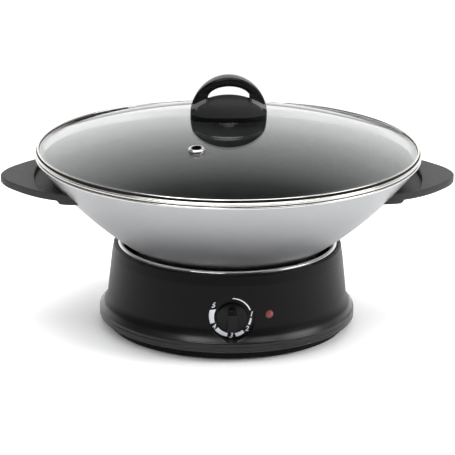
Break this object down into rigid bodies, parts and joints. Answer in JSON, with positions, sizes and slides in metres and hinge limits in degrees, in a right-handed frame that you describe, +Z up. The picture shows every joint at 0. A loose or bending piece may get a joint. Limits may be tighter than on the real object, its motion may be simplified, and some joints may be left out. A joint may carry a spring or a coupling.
{
  "type": "electric wok",
  "caption": "Electric wok: wide satin metal pan with side handles and a lift-off domed glass lid, standing on a round black heating base with a turn dial and pilot lamp.",
  "frame": {"origin": "on the table, under the middle of the base and of the whole object", "axes": "+Z up, +X towards the right handle, -Y towards the front with the dial"},
  "size_m": [0.423, 0.361, 0.2386],
  "materials": {
    "housing_black": "black moulded plastic, satin, faint sheen on the flare",
    "underside_black": "black moulded plastic, fine texture",
    "dial_black": "black moulded plastic, satin",
    "handle_grey": "dark grey heat-proof plastic, matt",
    "knob_black": "black heat-proof plastic, polished",
    "foot_rubber": "black rubber",
    "seal_silicone": "clear grey silicone",
    "pan_satin": "satin silver outside, dark non-stick coating inside, bright at the rim",
    "band_bright": "polished stainless steel band",
    "eyelet_bright": "polished stainless steel eyelet",
    "dish_bright": "polished steel dish, bright rolled rim",
    "lid_glass": "clear tempered glass",
    "lamp_glass": "clear glass bulb",
    "lamp_red": "red translucent plastic",
    "element_steel": "dark oxidised steel sheath",
    "zinc_steel": "zinc-plated steel",
    "stainless": "plain stainless steel",
    "spring_steel": "blued spring steel",
    "brass": "plain brass",
    "copper_bulb": "bright drawn copper alloy",
    "ceramic_white": "unglazed white",
    "block_cream": "cream insulating plastic",
    "stat_brown": "brown insulating plastic",
    "gland_black": "black nylon",
    "ring_nylon": "natural nylon",
    "fuse_sleeve": "white woven glass-fibre sleeve",
    "lead_brown": "brown silicone jacket",
    "lead_white": "white glass-fibre jacket",
    "lead_blue": "blue silicone jacket",
    "lead_green": "green and yellow jacket",
    "lead_grey": "grey jacket"
  },
  "bodies": {
    "base": {"base_housing": "housing_black", "base_plate": "underside_black", "rubber_feet": "foot_rubber", "base_plate_screws": "zinc_steel", "spacer_posts": "zinc_steel", "reflector_dish": "dish_bright", "dish_screws": "stainless", "heating_element": "element_steel", "ceramic_bushes": "ceramic_white", "element_blades": "stainless", "element_supports": "stainless", "support_rivets": "stainless", "thermostat_body": "stat_brown", "thermostat_bracket": "zinc_steel", "thermostat_screws": "zinc_steel", "heat_sensor": "copper_bulb", "sensor_clip": "stainless", "thermal_fuse": "fuse_sleeve", "fuse_strap": "stainless", "pilot_lens": "lamp_red", "lens_ring": "ring_nylon", "neon_lamp": "lamp_glass", "cord_gland": "gland_black", "terminal_block": "block_cream", "terminal_screws": "brass", "block_screws": "zinc_steel", "earth_tab": "brass", "earth_rivet": "stainless", "live_lead": "lead_brown", "load_lead": "lead_brown", "fuse_lead": "lead_white", "neutral_lead": "lead_blue", "earth_lead": "lead_green", "lamp_leads": "lead_grey"},
    "dial": {"control_knob": "dial_black", "knob_spring_clip": "spring_steel", "thermostat_spindle": "brass"},
    "pan": {"wok_pan": "pan_satin", "right_handle": "handle_grey", "right_handle_bracket": "stainless", "right_handle_screw": "zinc_steel", "left_handle": "handle_grey", "left_handle_bracket": "stainless", "left_handle_screw": "zinc_steel"},
    "lid": {"lid_glass": "lid_glass", "lid_rim": "band_bright", "steam_vent": "eyelet_bright", "lid_knob": "knob_black", "lid_knob_base": "knob_black", "lid_screw": "stainless", "lid_washer": "stainless", "lid_seal": "seal_silicone"}
  },
  "joints": [
    {"name": "knob_turn", "type": "hinge", "parent": "base", "child": "dial", "pos_m": [0, -0.1078, 0.041], "axis": [0, 1, 0], "range_deg": [0, 300]},
    {"name": "pan_lift", "type": "slide", "parent": "base", "child": "pan", "axis": [0, 0, 1], "range_m": [0, 0.15]},
    {"name": "lid_lift", "type": "slide", "parent": "pan", "child": "lid", "axis": [0, 0, 1], "range_m": [0, 0.12]}
  ]
}
